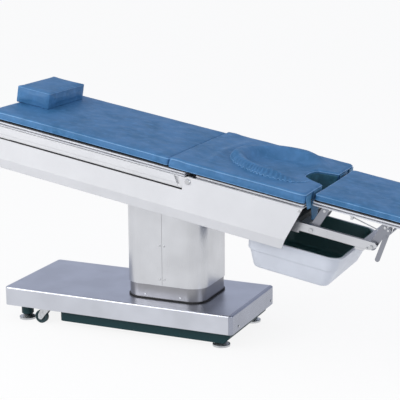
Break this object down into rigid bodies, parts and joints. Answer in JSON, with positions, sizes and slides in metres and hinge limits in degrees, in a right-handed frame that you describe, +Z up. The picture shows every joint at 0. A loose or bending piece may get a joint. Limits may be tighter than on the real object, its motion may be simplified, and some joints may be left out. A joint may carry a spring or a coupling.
{
  "type": "operating table",
  "caption": "Operating table: wheeled stainless base, telescopic column, tilting top with hinged back, cushioned seat with cut-out, pull-out lowering leg section and drain basin.",
  "frame": {"origin": "floor point under the middle of the whole table's box, with the top at its rest tilt", "axes": "+X towards the foot end, +Y across towards the far side, +Z up"},
  "size_m": [1.8154, 0.5606, 0.8775],
  "materials": {
    "stainless": "brushed",
    "fastener_steel": "bright",
    "chassis_paint": "satin",
    "zinc_steel": "zinc plated",
    "wheel_rubber": "matte",
    "black_rubber": "matte",
    "column_steel": "satin",
    "ground_steel": "ground",
    "white_paint": "semi-gloss",
    "frame_paint": "satin",
    "guide_plastic": "matte",
    "black_board": "matte",
    "deck_laminate": "satin",
    "blue_vinyl": "vinyl, slightly glossy",
    "blue_cloth": "coated cloth",
    "link_steel": "brushed",
    "basin_plastic": "gloss"
  },
  "bodies": {
    "base": {"base_cover": "stainless", "base_end_cap": "stainless", "base_screws": "fastener_steel", "base_chassis": "chassis_paint", "base_pan": "chassis_paint", "foot_housings": "chassis_paint", "castor_plates": "zinc_steel", "column_shroud": "stainless", "column_gasket": "black_rubber", "mast_tube": "column_steel", "lift_cylinder": "column_steel"},
    "floor_locks": {"floor_lock_feet": "zinc_steel"},
    "column": {"sleeve_half_head": "stainless", "sleeve_half_foot": "stainless", "sleeve_screws": "fastener_steel", "column_top_plate": "stainless", "mast_slider": "column_steel", "lift_rod": "ground_steel", "tilt_yoke": "column_steel"},
    "cradle": {"tilt_cradle": "column_steel", "cross_shaft": "ground_steel"},
    "table_frame": {"frame_beams": "frame_paint", "cross_members": "frame_paint", "side_skirt_near": "white_paint", "side_skirt_far": "white_paint", "skirt_bolts": "fastener_steel", "rest_pads": "black_rubber", "seat_rails": "frame_paint", "basin_runners": "frame_paint", "slide_guides": "guide_plastic", "hinge_shaft": "ground_steel", "seat_board": "black_board", "seat_deck": "deck_laminate", "seat_cushion": "blue_vinyl", "drape_flaps": "blue_cloth"},
    "back_section": {"back_board": "black_board", "back_deck": "deck_laminate", "back_cushion": "blue_vinyl", "seat_cushion_lap": "blue_vinyl", "back_rails": "white_paint"},
    "head_pillow": {"pillow": "blue_vinyl"},
    "carriage": {"slide_bars": "link_steel", "bar_pins": "fastener_steel"},
    "head_links": {"head_links": "link_steel"},
    "foot_links": {"foot_links": "link_steel"},
    "leg_section": {"leg_board": "black_board", "leg_cushion": "blue_vinyl", "leg_deck": "deck_laminate", "leg_ears": "link_steel"},
    "stay_rods": {"stay_rods": "link_steel"},
    "release_lever": {"release_lever": "link_steel"},
    "basin": {"drain_basin": "basin_plastic"},
    "castor_fork_1": {"castor_fork_1": "zinc_steel"},
    "castor_wheel_1": {"castor_wheel_1": "wheel_rubber"},
    "castor_fork_2": {"castor_fork_2": "zinc_steel"},
    "castor_wheel_2": {"castor_wheel_2": "wheel_rubber"},
    "castor_fork_3": {"castor_fork_3": "zinc_steel"},
    "castor_wheel_3": {"castor_wheel_3": "wheel_rubber"},
    "castor_fork_4": {"castor_fork_4": "zinc_steel"},
    "castor_wheel_4": {"castor_wheel_4": "wheel_rubber"}
  },
  "joints": [
    {"name": "floor_lock", "type": "slide", "parent": "base", "child": "floor_locks", "axis": [0, 0, -1], "range_m": [0, 0.006]},
    {"name": "column_lift", "type": "slide", "parent": "base", "child": "column", "axis": [0, 0, 1], "range_m": [0, 0.28]},
    {"name": "lateral_tilt", "type": "hinge", "parent": "column", "child": "cradle", "pos_m": [-0.27712, 0, 0.594], "axis": [1, 0, 0], "range_deg": [-15, 15]},
    {"name": "table_tilt", "type": "hinge", "parent": "cradle", "child": "table_frame", "pos_m": [-0.27712, 0, 0.594], "axis": [0, 1, 0], "range_deg": [-34.9, 15.1]},
    {"name": "back_raise", "type": "hinge", "parent": "table_frame", "child": "back_section", "pos_m": [-0.1057, 0, 0.61928], "axis": [0, 1, 0], "range_deg": [0, 50]},
    {"name": "pillow_lift", "type": "slide", "parent": "back_section", "child": "head_pillow", "axis": [0.1719, 0, 0.9851], "range_m": [0, 0.15]},
    {"name": "carriage_slide", "type": "slide", "parent": "table_frame", "child": "carriage", "axis": [0.9851, 0, -0.1719], "range_m": [0, 0.12]},
    {"name": "head_link_swing", "type": "hinge", "parent": "carriage", "child": "head_links", "pos_m": [0.3167, 0, 0.4745], "axis": [0, 1, 0], "range_deg": [0, 62]},
    {"name": "foot_link_swing", "type": "hinge", "parent": "carriage", "child": "foot_links", "pos_m": [0.52653, 0, 0.43788], "axis": [0, 1, 0], "range_deg": [0, 62]},
    {"name": "leg_swing", "type": "hinge", "parent": "head_links", "child": "leg_section", "pos_m": [0.35831, 0, 0.54134], "axis": [0, 1, 0], "range_deg": [-62, 0]},
    {"name": "stay_swing", "type": "hinge", "parent": "foot_links", "child": "stay_rods", "pos_m": [0.55732, 0, 0.48734], "axis": [0, 1, 0], "range_deg": [-69.5, 0]},
    {"name": "release_lever_swing", "type": "hinge", "parent": "leg_section", "child": "release_lever", "pos_m": [0.58786, 0, 0.50432], "axis": [0, -1, 0], "range_deg": [0, 40]},
    {"name": "basin_slide", "type": "slide", "parent": "table_frame", "child": "basin", "axis": [0.9851, 0, -0.1719], "range_m": [-0.08, 0.15]},
    {"name": "castor_swivel_1", "type": "hinge", "parent": "base", "child": "castor_fork_1", "pos_m": [-0.73712, -0.176, 0.056], "axis": [0, 0, 1], "continuous": true},
    {"name": "castor_roll_1", "type": "hinge", "parent": "castor_fork_1", "child": "castor_wheel_1", "pos_m": [-0.75912, -0.176, 0.025], "axis": [0, 1, 0], "continuous": true},
    {"name": "castor_swivel_2", "type": "hinge", "parent": "base", "child": "castor_fork_2", "pos_m": [-0.73712, 0.176, 0.056], "axis": [0, 0, 1], "continuous": true},
    {"name": "castor_roll_2", "type": "hinge", "parent": "castor_fork_2", "child": "castor_wheel_2", "pos_m": [-0.75912, 0.176, 0.025], "axis": [0, 1, 0], "continuous": true},
    {"name": "castor_swivel_3", "type": "hinge", "parent": "base", "child": "castor_fork_3", "pos_m": [-0.12512, -0.124, 0.056], "axis": [0, 0, 1], "continuous": true},
    {"name": "castor_roll_3", "type": "hinge", "parent": "castor_fork_3", "child": "castor_wheel_3", "pos_m": [-0.14712, -0.124, 0.025], "axis": [0, 1, 0], "continuous": true},
    {"name": "castor_swivel_4", "type": "hinge", "parent": "base", "child": "castor_fork_4", "pos_m": [-0.12512, 0.124, 0.056], "axis": [0, 0, 1], "continuous": true},
    {"name": "castor_roll_4", "type": "hinge", "parent": "castor_fork_4", "child": "castor_wheel_4", "pos_m": [-0.14712, 0.124, 0.025], "axis": [0, 1, 0], "continuous": true}
  ],
  "couplings": [
    {"joint": "foot_link_swing", "follows": "head_link_swing", "ratio": 1},
    {"joint": "leg_swing", "follows": "head_link_swing", "ratio": -1},
    {"joint": "stay_swing", "follows": "head_link_swing", "ratio": -1.115}
  ]
}
